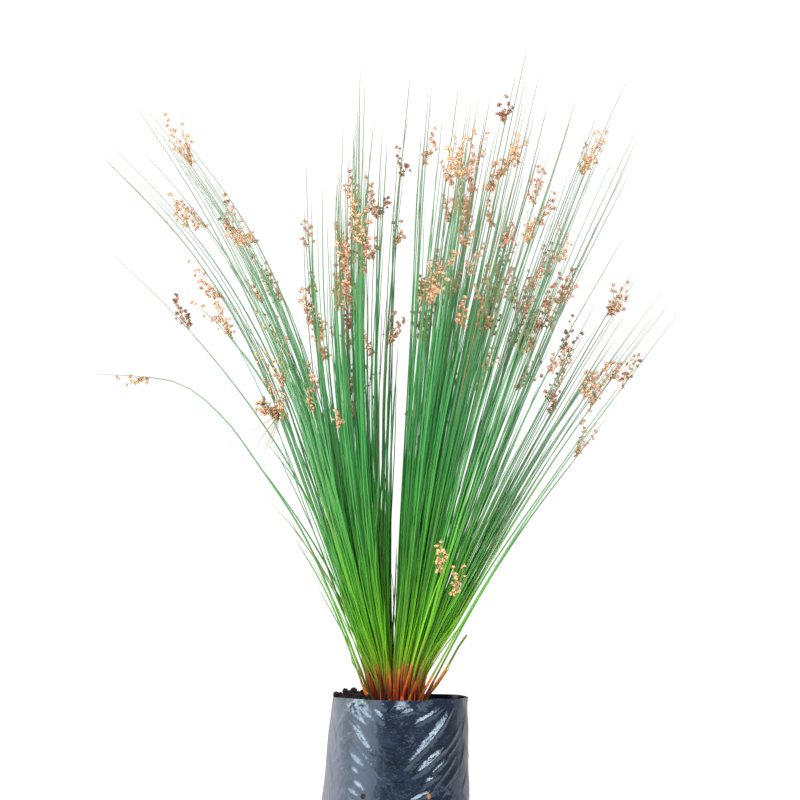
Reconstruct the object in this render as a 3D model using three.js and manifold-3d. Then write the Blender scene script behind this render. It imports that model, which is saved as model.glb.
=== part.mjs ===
// Potted rush: a tussock of slender green culms growing in a filled grow bag of black film.
// Millimetres, +Z up. The origin is the centre of the bag's foot, and the plant's front faces -Y.
import * as THREE from "three";
import { mergeVertices } from "three/addons/utils/BufferGeometryUtils.js";
import Module from "manifold-3d";

const wasm = await Module();
wasm.setup();

// Driving dimensions of the bag and its filling
const BAG_HEIGHT = 200;
const BAG_SIDES = 24;
const FILM = 1.2;
const GAP = 0.4;
const SOIL_TOP = 195;
const HOLE_RADIUS = 3;
const HOLE_HEIGHTS = [100, 50];
const HOLE_ANGLES = [0, 64, 116, 180, 244, 296];
const PUNCH_LENGTH = 24;
const PUNCH_SIDES = 6;
const CREASE_DEPTH = 2.5;
const CREASE_ANGLES = [90, 270];

// The bag's section at some heights: it sags outwards, mostly to the left, and tucks in at the foot
const BAG_STATIONS = [
  { z: 0, radius: 70, shift: 0 },
  { z: 8, radius: 77, shift: 0 },
  { z: 40, radius: 81, shift: -0.5 },
  { z: 95, radius: 80, shift: 0 },
  { z: 150, radius: 76.5, shift: 2.2 },
  { z: BAG_HEIGHT, radius: 73.4, shift: 4.4 },
];

// Driving dimensions of the tussock
const POCKET = { x: 35, y: 31, depth: 4 };
const TUFT_SPACING = 7.5;
const CLUMP = { x: 28.4, y: 24.7 };
const BASE_RADIUS = 3.8;
const BASE_SIDES = 6;
const BASE_HEIGHT = 14;
const CULMS_IN_TUFT = 4;
const CULM_SIDES = 3;
const CULM_OFFSET = 2.15;
const CULM_RADIUS = 1.4;
const SLIM_RADIUS = 1.1;
const ROOT = BASE_HEIGHT - 1.2;
const CULM_LEVELS = [90, 220, 400, 520];
const LEAST_TIP = 40;
const TUFT_OPENING = 1.9;
const DEPTH_LEAN = 24;
const LEAN_NOISE = 1.4;
const DEPTH_NOISE = 4;
const DEPTH_BOW = 0.3;
const CULM_NOISE = 1.3;
const YOUNG_SHARE = 0.26;
const YOUNG_NOISE = 2;
const YOUNG_LENGTH = { shortest: 0.22, longest: 0.55 };
const LENGTH_SPREAD = 0.32;
const SPRAY_EDGE = 0.8;

// Crossing culms are pushed apart step by step until they are clear of each other
const CLEARANCE = 0.2;
const TOLERANCE = 0.02;
const PUSH = 0.55;
const SEPARATING_PASSES = 120;
const NEARLY_NOTHING = 1e-6;

// A flower head: a loose cluster that bulges from one side of the culm. The shares place its foot on
// the culm, from lowest to highest, and widest places the bulge on the head.
const HEAD = { reach: 8, length: 38, aside: 3.5, widest: 0.55, lowest: 0.68, highest: 0.92 };
const HEAD_ROOM = 20;
const TIP_ABOVE_HEAD = 11;

// The sprays that the culms lean into, from left to right. Each grows from the feet up to its x, and
// a pair of values belongs to its left and its right edge. Lean is in degrees from upright, and a
// grown culm strays from it by SPRAY_EDGE at most, so gaps stay open between the sprays. Young is
// what a young culm leans on top of it. Curl is how far a culm swings to the right late in its
// growth, as a share of its height. HEADS holds the share of each spray's culms that flower.
const SPRAYS = [
  { name: "left", to: -16.3, lean: [-20, -15.5], young: -3.5, longest: [643, 693], curl: [-0.12, -0.08] },
  { name: "low_left", to: -12.7, lean: [-14.5, -9.5], young: -4, longest: [423, 393], curl: [0, 0] },
  { name: "centre_left", to: -2.4, lean: [-7.8, 1], young: 0, longest: [640, 715], curl: [0.15, 0.09] },
  { name: "centre_right", to: 12.2, lean: [4.2, 12.5], young: 0, longest: [660, 752], curl: [0.01, 0.05] },
  { name: "right", to: 20, lean: [13.5, 22], young: 0, longest: [745, 660], curl: [0.05, 0.08] },
  { name: "far_right", to: CLUMP.x, lean: [22.5, 33], young: -1, longest: [600, 508], curl: [0.1, 0.16] },
];
const HEADS = {
  left: 0.75,
  low_left: 0.1,
  centre_left: 0.8,
  centre_right: 0.85,
  right: 0.8,
  far_right: 0.75,
};

// How far at most the tips of a spray hang out to the left, as a share of a culm's height, and the
// share of its height where they start to
const DROOP = { left: 0.13 };
const DROOP_START = 0.6;

// Culms that stand alone round the clump. The foot is on the soil, and place is the flower head's.
const SINGLES = [
  { name: "culm_low_left", x: -27.7, y: 10.1, lean: -30.5, depth: 6, length: 585, curl: -0.5, place: 0.8 },
  { name: "culm_tall_left", x: -20.8, y: 20.6, lean: -22.5, depth: 8, length: 738, curl: -0.26 },
  { name: "culm_bent_left", x: -27.7, y: -10.1, lean: -24, depth: -6, length: 201, curl: -0.14 },
  { name: "culm_tall_centre", x: -3.7, y: 25.7, lean: 1.7, depth: 7, length: 718, curl: 0.09, place: 0.82 },
  { name: "culm_tall_right", x: 20.8, y: 20.6, lean: 19.2, depth: 9, length: 758, curl: 0.1, place: 0.84 },
  { name: "culm_low_right", x: 27.7, y: 10.1, lean: 33.6, depth: 5, length: 382, curl: 0.17, place: 0.84 },
  { name: "culm_far_right", x: 20.8, y: -20.6, lean: 34.1, depth: -8, length: 516, curl: 0.14, place: 0.8 },
  { name: "culm_short_front", x: 3.7, y: -25.7, lean: 18.5, depth: -23, length: 221, curl: 0.05, place: 0.7 },
  { name: "culm_short_right", x: 11.2, y: -25.1, lean: 25, depth: -22, length: 198, curl: 0.1, place: 0.7 },
  { name: "culm_broken_right", x: 27.7, y: -10.1, lean: 33, depth: -8, length: 89, curl: 0.1, broken: true },
  { name: "straw_right", x: 24.4, y: -16.3, lean: 42, depth: -8, length: 56, curl: 0 },
  { name: "straw_left", x: -20.8, y: -20.6, lean: -27, depth: -12, length: 61, curl: 0 },
];

// The culm that arches out to the left, with a head hanging under its end
const ARCH = [
  { x: -24.4, y: -16.3, z: 191.4, radius: 1.4 },
  { x: -62, y: -27, z: 290, radius: 1.4 },
  { x: -105, y: -36, z: 388, radius: 1.3 },
  { x: -149, y: -44, z: 454, radius: 1.2 },
  { x: -187, y: -50, z: 503, radius: 1.1 },
  { x: -237, y: -57, z: 541, radius: 1 },
  { x: -268, y: -61, z: 547, radius: 1 },
  { x: -288, y: -63, z: 548, radius: 6 },
  { x: -305, y: -65, z: 549, radius: 0.8 },
  { x: -330, y: -67, z: 550, radius: 0 },
];

const GREEN = new THREE.MeshStandardMaterial({ color: 0x4d8c33, roughness: 0.5 });
const FILM_BLACK = new THREE.MeshStandardMaterial({ color: 0x2b3340, roughness: 0.25 });
const SOIL_BROWN = new THREE.MeshStandardMaterial({ color: 0x1d1814, roughness: 1 });

const plant = new THREE.Group();

// A repeatable stand-in for chance, from 0 to 1
const CHANCE_STEP = 16807;
const CHANCE_RANGE = 2147483647;
let seed = 23;
function chance() {
  seed = (seed * CHANCE_STEP) % CHANCE_RANGE;
  return seed / CHANCE_RANGE;
}

function between(low, high) {
  return low + (high - low) * chance();
}

function radians(degrees) {
  return THREE.MathUtils.degToRad(degrees);
}

function addPiece(name, geometry, material) {
  const mesh = new THREE.Mesh(geometry, material);
  mesh.name = name;
  plant.add(mesh);
}

// Closed skins over rings of points, and joins and cuts of them

// The rings run anticlockwise seen from the skin's end. It closes flat, or at its end in a point.
function skin(rings, point) {
  const sides = rings[0].length;
  const points = rings.flat();
  const faces = [];
  const last = (rings.length - 1) * sides;
  for (let side = 1; side < sides - 1; side++) {
    faces.push(0, side + 1, side);
    if (!point) {
      faces.push(last, last + side, last + side + 1);
    }
  }
  for (let start = 0; start < last; start += sides) {
    for (let side = 0; side < sides; side++) {
      const here = start + side;
      const next = start + ((side + 1) % sides);
      faces.push(here, next, next + sides, here, next + sides, here + sides);
    }
  }
  if (point) {
    points.push(point);
    for (let side = 0; side < sides; side++) {
      faces.push(last + side, last + ((side + 1) % sides), points.length - 1);
    }
  }
  const geometry = new THREE.BufferGeometry().setFromPoints(points);
  geometry.setIndex(faces);
  return geometry;
}

function toSolid(geometry) {
  const bare = geometry.clone();
  bare.deleteAttribute("normal");
  bare.deleteAttribute("uv");
  const merged = mergeVertices(bare, 1e-4);
  const vertProperties = new Float32Array(merged.attributes.position.array);
  const triVerts = new Uint32Array(merged.index.array);
  return new wasm.Manifold(new wasm.Mesh({ numProp: 3, vertProperties, triVerts }));
}

function toGeometry(solid) {
  const mesh = solid.getMesh();
  const geometry = new THREE.BufferGeometry();
  geometry.setAttribute("position", new THREE.BufferAttribute(mesh.vertProperties, 3));
  geometry.setIndex(new THREE.BufferAttribute(mesh.triVerts, 1));
  return geometry;
}

function joined(geometries) {
  return toGeometry(geometries.map(toSolid).reduce((whole, next) => whole.add(next)));
}

// The grow bag: an open shell of film with a crease down its front and back, and drainage holes

function bagStation(z) {
  const above = Math.max(1, BAG_STATIONS.findIndex((station) => station.z >= z));
  const low = BAG_STATIONS[above - 1];
  const high = BAG_STATIONS[above];
  const share = (z - low.z) / (high.z - low.z);
  return {
    radius: THREE.MathUtils.lerp(low.radius, high.radius, share),
    shift: THREE.MathUtils.lerp(low.shift, high.shift, share),
  };
}

// One ring of the bag's wall at height z, drawn in by the thickness inset
function bagRing(z, inset) {
  const { radius, shift } = bagStation(z);
  return Array.from({ length: BAG_SIDES }, (_, side) => {
    const degrees = (side * 360) / BAG_SIDES;
    const creased = CREASE_ANGLES.includes(degrees) ? CREASE_DEPTH : 0;
    const reach = radius - inset - creased;
    const angle = radians(degrees);
    return new THREE.Vector3(shift + reach * Math.cos(angle), reach * Math.sin(angle), z);
  });
}

function growBag() {
  const outer = BAG_STATIONS.map(({ z }) => bagRing(z, 0));
  const innerHeights = [FILM, ...BAG_STATIONS.slice(1).map(({ z }) => z)].reverse();
  const inner = innerHeights.map((z) => bagRing(z, FILM));
  let shell = toSolid(skin([...outer, ...inner]));
  for (const z of HOLE_HEIGHTS) {
    for (const degrees of HOLE_ANGLES) {
      const { radius, shift } = bagStation(z);
      const punch = new THREE.CylinderGeometry(HOLE_RADIUS, HOLE_RADIUS, PUNCH_LENGTH, PUNCH_SIDES);
      punch.rotateZ(Math.PI / 2);
      punch.translate(radius, 0, 0);
      punch.rotateZ(radians(degrees));
      punch.translate(shift, 0, z);
      shell = shell.subtract(toSolid(punch));
    }
  }
  addPiece("grow_bag", toGeometry(shell), FILM_BLACK);
}

// The soil fills the bag to just under the rim, with a shallow pocket where the clump stands

function ellipse(x, y, z) {
  return Array.from({ length: BAG_SIDES }, (_, side) => {
    const angle = (side * 2 * Math.PI) / BAG_SIDES;
    return new THREE.Vector3(x * Math.cos(angle), y * Math.sin(angle), z);
  });
}

function soil() {
  const heights = [FILM + GAP, ...BAG_STATIONS.slice(1, -1).map(({ z }) => z), SOIL_TOP];
  const side = heights.map((z) => bagRing(z, FILM + GAP));
  const lip = ellipse(POCKET.x, POCKET.y, SOIL_TOP);
  const floor = ellipse(POCKET.x, POCKET.y, SOIL_TOP - POCKET.depth);
  addPiece("soil", skin([...side, lip, floor]), SOIL_BROWN);
}

// Clods of soil heaped against the left of the rim, cut flat where they lie on the soil
const CLODS = [
  { x: -56, y: 8, z: 197, radius: 9 },
  { x: -53, y: -4, z: 200, radius: 9 },
  { x: -58, y: -14, z: 194, radius: 7 },
  { x: -50, y: -18, z: 194, radius: 8 },
  { x: -50, y: 18, z: 194, radius: 8 },
  { x: -59, y: -2, z: 201, radius: 7 },
  { x: -47, y: 0, z: 203, radius: 6 },
  { x: -41, y: -14, z: 199, radius: 6 },
];
const CLOD_ROOM = { width: 60, depth: 90, height: 60 };

function clods() {
  const lumps = CLODS.map(({ x, y, z, radius }) => {
    const lump = new THREE.IcosahedronGeometry(radius, 0);
    lump.rotateX(x);
    lump.rotateZ(y);
    lump.translate(x, y, z);
    return toSolid(lump);
  });
  const heap = lumps.reduce((whole, next) => whole.add(next));
  const room = new THREE.BoxGeometry(CLOD_ROOM.width, CLOD_ROOM.depth, CLOD_ROOM.height);
  room.translate(-CLOD_ROOM.width, 0, SOIL_TOP + GAP + CLOD_ROOM.height / 2);
  addPiece("soil_clods", toGeometry(heap.intersect(toSolid(room))), SOIL_BROWN);
}

// Culms. Each is a list of stations: a centre line point, the radius there, and whether it is fixed.

// A culm of some length and lean that curves a little: h is the height above the soil
function culmStations({ foot, root, lean, depth, length, curl, droop = 0, head, broken }) {
  const across = Math.tan(radians(lean));
  const back = Math.tan(radians(depth));
  const height = length / Math.hypot(1, across, back);
  const at = (h, aside = 0) => {
    const share = (h - root) / (height - root);
    const bend = share * (1 - share);
    const hang = droop * (Math.max(0, share - DROOP_START) / (1 - DROOP_START)) ** 2;
    const x = foot.x + height * (across * share - curl * bend - hang) + aside;
    const y = foot.y + height * back * (share - DEPTH_BOW * bend);
    return { x, y, z: SOIL_TOP + h };
  };
  const girth = (h) => THREE.MathUtils.lerp(CULM_RADIUS, SLIM_RADIUS, h / height);
  const stations = [{ ...at(root), radius: CULM_RADIUS, fixed: true }];
  for (const h of CULM_LEVELS.filter((level) => level < height - LEAST_TIP)) {
    stations.push({ ...at(h), radius: girth(h) });
  }
  if (head) {
    const low = Math.min(head.place * height, height - HEAD.length - TIP_ABOVE_HEAD);
    const from = stations.findIndex((station) => station.z > SOIL_TOP + low - HEAD_ROOM);
    if (from > 0) {
      stations.length = from;
    }
    stations.push({ ...at(low), radius: SLIM_RADIUS });
    const aside = chance() < 0.5 ? -HEAD.aside : HEAD.aside;
    stations.push({ ...at(low + HEAD.widest * HEAD.length, aside), radius: HEAD.reach });
    stations.push({ ...at(low + HEAD.length), radius: SLIM_RADIUS });
  }
  stations.push({ ...at(height), radius: broken ? SLIM_RADIUS : 0 });
  return stations;
}

// A three-sided tube along the stations. Its rings lie level, or across a turned culm's own line.
function culmSkin(stations, turned) {
  const turn = between(0, Math.PI);
  const upright = new THREE.Vector3(0, 0, 1);
  const centres = stations.map(({ x, y, z }) => new THREE.Vector3(x, y, z));
  const last = stations.length - 1;
  const tip = stations[last].radius === 0 ? centres[last] : null;
  const rings = [];
  for (let index = 0; index < (tip ? last : last + 1); index++) {
    const along = upright.clone();
    if (turned && index > 0) {
      along.subVectors(centres[index + 1], centres[index - 1]).normalize();
    }
    const facing = new THREE.Quaternion().setFromUnitVectors(upright, along);
    rings.push(Array.from({ length: CULM_SIDES }, (_, corner) => {
      const reach = new THREE.Vector3(stations[index].radius, 0, 0);
      reach.applyAxisAngle(upright, turn + (corner * 2 * Math.PI) / CULM_SIDES);
      return reach.applyQuaternion(facing).add(centres[index]);
    }));
  }
  return skin(rings, tip);
}

// The centre line and radius of a culm at height z, and the stations a and b to either side of it
function pointAt(stations, z) {
  let high = 1;
  while (high < stations.length - 1 && stations[high].z < z) {
    high++;
  }
  const a = stations[high - 1];
  const b = stations[high];
  const share = (z - a.z) / (b.z - a.z);
  return {
    a,
    b,
    share,
    x: THREE.MathUtils.lerp(a.x, b.x, share),
    y: THREE.MathUtils.lerp(a.y, b.y, share),
    radius: THREE.MathUtils.lerp(a.radius, b.radius, share),
  };
}

// Moves a culm sideways at one height, by the stations above and below
function nudge(stations, z, dx, dy) {
  const { a, b, share } = pointAt(stations, z);
  const scale = 1 / ((1 - share) ** 2 + share ** 2);
  for (const [station, weight] of [[a, 1 - share], [b, share]]) {
    if (!station.fixed) {
      station.x += dx * weight * scale;
      station.y += dy * weight * scale;
    }
  }
}

// The tightest place between two culms: how much room they lack there, its height z, and the way
// to push the first, x and y. At each height the room needed is both radii and the clearance. It is
// looked for at each station and where the culms come nearest between two stations.
function tightest(one, two) {
  const low = Math.max(one[0].z, two[0].z);
  const high = Math.min(one[one.length - 1].z, two[two.length - 1].z);
  const inside = [...one, ...two].map(({ z }) => z).filter((z) => z > low && z < high);
  const heights = [low, ...inside.sort((a, b) => a - b), high];
  let worst = { lack: 0 };
  let before = null;
  for (const z of heights) {
    const p = pointAt(one, z);
    const q = pointAt(two, z);
    const here = { z, x: p.x - q.x, y: p.y - q.y, need: p.radius + q.radius + CLEARANCE };
    if (before) {
      const dx = here.x - before.x;
      const dy = here.y - before.y;
      const along = -(before.x * dx + before.y * dy) / (dx * dx + dy * dy + NEARLY_NOTHING);
      for (const share of [0, THREE.MathUtils.clamp(along, 0, 1), 1]) {
        const x = before.x + dx * share;
        const y = before.y + dy * share;
        const apart = Math.hypot(x, y) + NEARLY_NOTHING;
        const lack = THREE.MathUtils.lerp(before.need, here.need, share) - apart;
        if (lack > worst.lack) {
          const at = THREE.MathUtils.lerp(before.z, z, share);
          worst = { lack, x: x / apart, y: y / apart, z: at };
        }
      }
    }
    before = here;
  }
  return worst;
}

// Pushes crossing culms apart until all are clear of each other
function separate(culms) {
  for (let pass = 0; pass < SEPARATING_PASSES; pass++) {
    let crossings = 0;
    for (let i = 0; i < culms.length; i++) {
      for (let j = 0; j < i; j++) {
        const { lack, x, y, z } = tightest(culms[i], culms[j]);
        if (lack > TOLERANCE) {
          const step = PUSH * lack;
          nudge(culms[i], z, x * step, y * step);
          nudge(culms[j], z, -x * step, -y * step);
          crossings++;
        }
      }
    }
    if (crossings === 0) {
      return;
    }
  }
}

function headOn(spray) {
  return chance() < HEADS[spray.name] ? { place: between(HEAD.lowest, HEAD.highest) } : null;
}

// The tufts: four culms each, grown from one sheathed base, the bases standing like a honeycomb

function tuftFeet() {
  const feet = [];
  const rowStep = TUFT_SPACING * Math.sin(Math.PI / 3);
  const rows = Math.floor(CLUMP.y / rowStep);
  for (let row = -rows; row <= rows; row++) {
    const y = row * rowStep;
    const halfWidth = CLUMP.x * Math.sqrt(1 - (y / CLUMP.y) ** 2);
    const start = row % 2 === 0 ? TUFT_SPACING / 2 : 0;
    const columns = [];
    for (let x = start; x <= halfWidth; x += TUFT_SPACING) {
      columns.push(x);
      if (x > 0) {
        columns.unshift(-x);
      }
    }
    for (const x of columns) {
      feet.push({ x, y });
    }
  }
  return feet;
}

function sprayAt(x) {
  const index = SPRAYS.findIndex((spray) => x <= spray.to);
  const spray = SPRAYS[index];
  const from = index > 0 ? SPRAYS[index - 1].to : -CLUMP.x;
  const share = (x - from) / (spray.to - from);
  const pick = ([left, right]) => THREE.MathUtils.lerp(left, right, share);
  return { spray, lean: pick(spray.lean), longest: pick(spray.longest), curl: pick(spray.curl) };
}

function tuftPlan(foot) {
  const { spray, lean, longest, curl } = sprayAt(foot.x);
  const middle = lean + between(-LEAN_NOISE, LEAN_NOISE);
  const depth = DEPTH_LEAN * (foot.y / CLUMP.y) + between(-DEPTH_NOISE, DEPTH_NOISE);
  const droop = (DROOP[spray.name] ?? 0) * chance();
  const leftmost = spray.lean[0] - SPRAY_EDGE;
  const rightmost = spray.lean[1] + SPRAY_EDGE;
  const culms = [];
  for (let index = 0; index < CULMS_IN_TUFT; index++) {
    const direction = ((index + 0.5) * 2 * Math.PI) / CULMS_IN_TUFT;
    const x = Math.cos(direction);
    const y = Math.sin(direction);
    const young = chance() < YOUNG_SHARE;
    const grown = 1 - LENGTH_SPREAD * chance() ** 2;
    const share = young ? between(YOUNG_LENGTH.shortest, YOUNG_LENGTH.longest) : grown;
    const more = young ? spray.young + between(-YOUNG_NOISE, YOUNG_NOISE) : 0;
    const strayed = middle + TUFT_OPENING * x + between(-CULM_NOISE, CULM_NOISE);
    culms.push(culmStations({
      foot: { x: foot.x + CULM_OFFSET * x, y: foot.y + CULM_OFFSET * y },
      root: ROOT,
      lean: THREE.MathUtils.clamp(strayed, leftmost, rightmost) + more,
      depth: depth + TUFT_OPENING * y + between(-CULM_NOISE, CULM_NOISE),
      length: share * longest,
      curl,
      droop,
      head: young ? null : headOn(spray),
    }));
  }
  return { spray: spray.name, foot, culms };
}

function tuftBase({ x, y }) {
  const foot = GAP - POCKET.depth;
  const base = new THREE.CylinderGeometry(BASE_RADIUS, BASE_RADIUS, BASE_HEIGHT - foot, BASE_SIDES);
  base.rotateX(Math.PI / 2);
  base.translate(x, y, SOIL_TOP + (BASE_HEIGHT + foot) / 2);
  return base;
}

function singlePlan({ name, x, y, place, ...shape }) {
  const root = GAP - POCKET.depth;
  const head = place ? { place } : null;
  return { name, stations: culmStations({ foot: { x, y }, root, head, ...shape }) };
}

function tussock() {
  const tufts = tuftFeet().map(tuftPlan);
  const singles = SINGLES.map(singlePlan);
  const arch = ARCH.map((station) => ({ ...station, fixed: true }));
  separate([arch, ...singles.map(({ stations }) => stations), ...tufts.flatMap(({ culms }) => culms)]);
  const numbers = {};
  for (const { spray, foot, culms } of tufts) {
    numbers[spray] = (numbers[spray] ?? 0) + 1;
    const skins = culms.map((stations) => culmSkin(stations, false));
    addPiece(`tuft_${spray}_${numbers[spray]}`, joined([tuftBase(foot), ...skins]), GREEN);
  }
  for (const { name, stations } of singles) {
    addPiece(name, culmSkin(stations, false), GREEN);
  }
  addPiece("culm_arching_left", culmSkin(ARCH, true), GREEN);
}

growBag();
soil();
clods();
tussock();

export default plant;
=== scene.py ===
"""The looks of a potted rush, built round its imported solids.

Metres, +Z up, and the plant's front faces -Y. The lines of the culms, the bag's section and the
level of the soil are read from the frame, so each piece lies where its solid does.
"""
import math

import bmesh
import bpy
import numpy as np
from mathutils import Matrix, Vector, noise
from numpy.linalg import norm


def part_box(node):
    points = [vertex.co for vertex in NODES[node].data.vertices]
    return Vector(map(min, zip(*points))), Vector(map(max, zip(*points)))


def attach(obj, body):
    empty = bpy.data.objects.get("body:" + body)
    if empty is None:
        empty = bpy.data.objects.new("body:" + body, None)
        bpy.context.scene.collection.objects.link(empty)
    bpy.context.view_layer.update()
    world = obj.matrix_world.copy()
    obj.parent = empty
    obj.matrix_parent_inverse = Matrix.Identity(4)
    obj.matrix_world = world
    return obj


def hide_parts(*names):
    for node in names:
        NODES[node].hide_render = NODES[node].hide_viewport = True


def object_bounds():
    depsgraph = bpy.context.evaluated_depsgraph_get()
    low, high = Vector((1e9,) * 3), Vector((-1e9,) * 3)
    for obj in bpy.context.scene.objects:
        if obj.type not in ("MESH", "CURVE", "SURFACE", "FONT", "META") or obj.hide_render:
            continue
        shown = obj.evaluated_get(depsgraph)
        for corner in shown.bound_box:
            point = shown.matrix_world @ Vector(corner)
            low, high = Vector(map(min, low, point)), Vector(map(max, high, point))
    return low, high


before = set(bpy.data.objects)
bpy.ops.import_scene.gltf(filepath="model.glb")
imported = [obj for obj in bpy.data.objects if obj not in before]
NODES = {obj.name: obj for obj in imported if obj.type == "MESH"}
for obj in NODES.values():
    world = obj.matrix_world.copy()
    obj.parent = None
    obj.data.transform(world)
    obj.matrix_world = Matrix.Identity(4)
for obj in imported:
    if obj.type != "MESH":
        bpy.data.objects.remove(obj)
CAD_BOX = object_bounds()
BODY = "root"
MM = 0.001
TURN = 2 * math.pi
DOWN = np.array([0, 0, -1.0])

# The frame's levels
SOIL_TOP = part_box("soil")[1].z
BAG_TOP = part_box("grow_bag")[1].z
POCKET_FLOOR = min(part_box(name)[0].z for name in NODES if name.startswith("tuft"))
BASE_LIMIT = SOIL_TOP + 50 * MM

# The culms, whose steps crowd towards the foot
CULM_SIDES = 8
CULM_RADIUS = 1.15 * MM
CULM_VARIETY = (0.88, 1.1)
STEP_ALONG = 17 * MM
LEAST_STEPS = 8
FOOT_CROWDING = 1.3
FOOT_SPREAD = 0.75
TAPER = 0.32
WAVER = 2.0 * MM
WAVES = (0.8, 1.8)
BRACT_SHARE = 0.8

# What tells a head's bulge and a tuft's foot in a solid, and how near points or levels are one
BULGE_RADIUS = 4 * MM
BASE_CORNERS = 6
WELD = 1e-6
SAME_LEVEL = 1e-5

# Thin culms between the solid ones: how many to a tuft of each spray, the share of the long ones that
# flower, and how loosely they keep to the solid ones
THIN_CULMS = {
    "tuft_left": (14, 0.1, 1.4),
    "tuft_low_left": (30, 0.0, 2.0),
    "tuft_centre_left": (26, 0.18, 0.6),
    "tuft_centre_right": (26, 0.1, 0.6),
    "tuft_right": (14, 0.2, 1.2),
    "tuft_far_right": (18, 0.15, 1.6),
}
NO_THIN_CULMS = (0, 0, 0)
THIN_RADIUS = 0.85 * MM
THIN_SIDES = 5
THIN_STEP = 27 * MM
THIN_STRAY = 0.3
THIN_WAVER = 2 * WAVER
THIN_BENDING = (2.5, 7)

# Their lengths in shares of the solid ones', and how far a short and a long one drift
THIN_LENGTHS = (0.22, 0.98)
THIN_DRIFT = (9 * MM, 5 * MM)
THIN_SHORTNESS = 0.85
THIN_HEADS = {"least": 0.72, "least_top": 470 * MM, "place": (0.8, 0.93), "length": 26 * MM}
THIN_SHEATHS = 0.4

rng = np.random.default_rng(20)


# Reading the culms from the solids


def shape_of(node):
    """A node's points, welded, and the neighbours of each."""
    shape = bmesh.new()
    shape.from_mesh(node.data)
    bmesh.ops.remove_doubles(shape, verts=shape.verts, dist=WELD)
    shape.verts.index_update()
    points = np.array([vertex.co for vertex in shape.verts])
    neighbours = [{edge.other_vert(vertex).index for edge in vertex.link_edges} for vertex in shape.verts]
    shape.free()
    return points, neighbours


def rings_down(points, neighbours, start, floor):
    """The centre and radius of each ring of a culm, walking down from its tip to the floor."""
    ring = set(start)
    seen = set(start)
    rings = []
    while ring:
        corners = points[sorted(ring)]
        centre = corners.mean(axis=0)
        rings.append((centre, norm(corners - centre, axis=1).mean()))
        if corners[:, 2].min() <= floor:
            break
        seen |= ring
        ring = {beyond for index in ring for beyond in neighbours[index]} - seen
    return rings


def culms_of(name):
    """The rings of each culm in a node, from foot to tip, and the middle of the tuft's base if any.

    A tuft's tips stand higher than all round them. Another culm's tip is where three edges meet, or
    its topmost ring if it is broken off.
    """
    points, neighbours = shape_of(NODES[name])
    rise = points[:, 2]
    in_tuft = name.startswith("tuft")
    floor = rise[rise < BASE_LIMIT].max() + SAME_LEVEL if in_tuft else -math.inf
    tips = []
    for index, around in enumerate(neighbours):
        if in_tuft:
            is_tip = rise[index] > floor and all(rise[near] < rise[index] for near in around)
        else:
            is_tip = len(around) == 3 and all(len(neighbours[near]) > 4 for near in around)
        if is_tip:
            tips.append([index])
    if not tips:
        tips = [list(np.flatnonzero(rise > rise.max() - SAME_LEVEL))]
    middle = points[np.argsort(rise)[:BASE_CORNERS]].mean(axis=0) if in_tuft else None
    return [rings_down(points, neighbours, tip, floor)[::-1] for tip in tips], middle


def through(stations, shares):
    """Points at some shares of a smooth curve through the stations."""
    stations = np.asarray(stations)
    steps = norm(np.diff(stations, axis=0), axis=1)
    places = np.concatenate([[0], np.cumsum(steps)])
    slopes = np.diff(stations, axis=0) / steps[:, None]
    weight = (steps[:-1] / (steps[:-1] + steps[1:]))[:, None]
    between = slopes[:-1] * (1 - weight) + slopes[1:] * weight
    tangents = np.concatenate([slopes[:1], between, slopes[-1:]])
    wanted = shares * places[-1]
    start = np.clip(np.searchsorted(places, wanted, side="right") - 1, 0, len(steps) - 1)
    step = steps[start][:, None]
    t = (wanted - places[start])[:, None] / step
    return (
        (2 * t**3 - 3 * t**2 + 1) * stations[start]
        + (t**3 - 2 * t**2 + t) * step * tangents[start]
        + (3 * t**2 - 2 * t**3) * stations[start + 1]
        + (t**3 - t**2) * step * tangents[start + 1]
    )


class Culm:
    """A culm's smooth centre line, its radius along it, and the places of its flower heads."""

    def __init__(self, rings, middle):
        centres, radii = zip(*rings)
        self.heads = []
        for index, radius in enumerate(radii):
            if radius > BULGE_RADIUS:
                foot, bulge, top = centres[index - 1 : index + 2]
                aside = bulge - (foot + top) / 2
                self.heads.append({"foot": foot, "along": top - foot, "aside": aside})
        line = [centre for centre, radius in rings if radius <= BULGE_RADIUS]
        if middle is not None:
            foot = middle + FOOT_SPREAD * (line[0] - middle)
            line = [np.array([foot[0], foot[1], POCKET_FLOOR]), *line]
        length = norm(np.diff(line, axis=0), axis=1).sum()
        count = max(LEAST_STEPS, round(length / STEP_ALONG))
        self.shares = np.linspace(0, 1, count + 1) ** FOOT_CROWDING
        self.line = through(line, self.shares)
        self.radii = CULM_RADIUS * rng.uniform(*CULM_VARIETY) * (1 - self.shares) ** TAPER
        is_broken_off = radii[-1] > 0
        if is_broken_off:
            self.radii = np.full(len(self.shares), CULM_RADIUS)
        self.waver()
        for head in self.heads:
            self.radii[self.line[:, 2] > head["foot"][2]] *= BRACT_SHARE
            head["foot"] = self.line[np.argmin(norm(self.line - head["foot"], axis=1))]

    def waver(self):
        """Bends the line a little from side to side, more towards its tip."""
        for axis in (0, 1):
            phase = rng.uniform(0, TURN)
            waves = rng.uniform(*WAVES)
            swing = np.sin(phase + TURN * waves * self.shares) - math.sin(phase)
            self.line[:, axis] += WAVER * swing * self.shares


def at_height(line, heights):
    """A line's x and y at some heights."""
    return np.stack([np.interp(heights, line[:, 2], line[:, axis]) for axis in (0, 1)])


# Meshes

# How far a culm's tone shifts its streaks, so that neighbours differ
GRAIN_SHIFT = 10


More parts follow.
